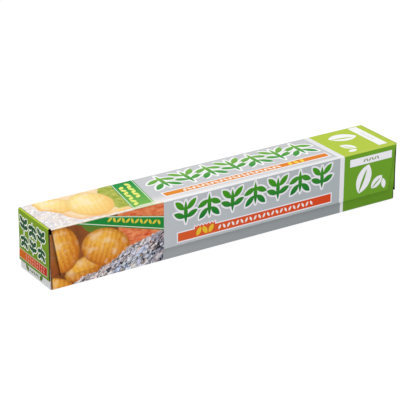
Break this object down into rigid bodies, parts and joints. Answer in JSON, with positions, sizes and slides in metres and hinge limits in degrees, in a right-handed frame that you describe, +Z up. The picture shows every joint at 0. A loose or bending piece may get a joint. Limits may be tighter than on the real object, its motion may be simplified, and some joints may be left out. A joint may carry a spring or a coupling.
{
  "type": "aluminium foil roll in a dispenser carton",
  "caption": "Kitchen foil on a paper core inside a long folded card carton with a hinged lid, a front flap and a toothed paper cutter.",
  "frame": {"origin": "centre of the carton's footprint, on the surface that it stands on", "axes": "+X along the roll, -Y towards the front wall and flap, +Z up"},
  "size_m": [0.2608, 0.04, 0.04],
  "materials": {
    "carton_card": "coated, satin, printed",
    "lid_card": "coated, satin, printed",
    "flap_card": "coated, satin, printed",
    "cutter_paper": "hard pressed, matte",
    "foil": "bright rolled",
    "core_paper": "uncoated, matte"
  },
  "bodies": {
    "tray": {"carton_body": "carton_card", "foil_roll": "foil", "core_tube": "core_paper"},
    "lid": {"lid_panel": "lid_card"},
    "flap": {"front_flap": "flap_card", "cutter_strip": "cutter_paper"}
  },
  "joints": [
    {"name": "lid_hinge", "type": "hinge", "parent": "tray", "child": "lid", "pos_m": [0, 0.02, 0.04], "axis": [-1, 0, 0], "range_deg": [0, 180]},
    {"name": "flap_hinge", "type": "hinge", "parent": "lid", "child": "flap", "pos_m": [0, -0.02, 0.04], "axis": [-1, 0, 0], "range_deg": [0, 90]}
  ]
}
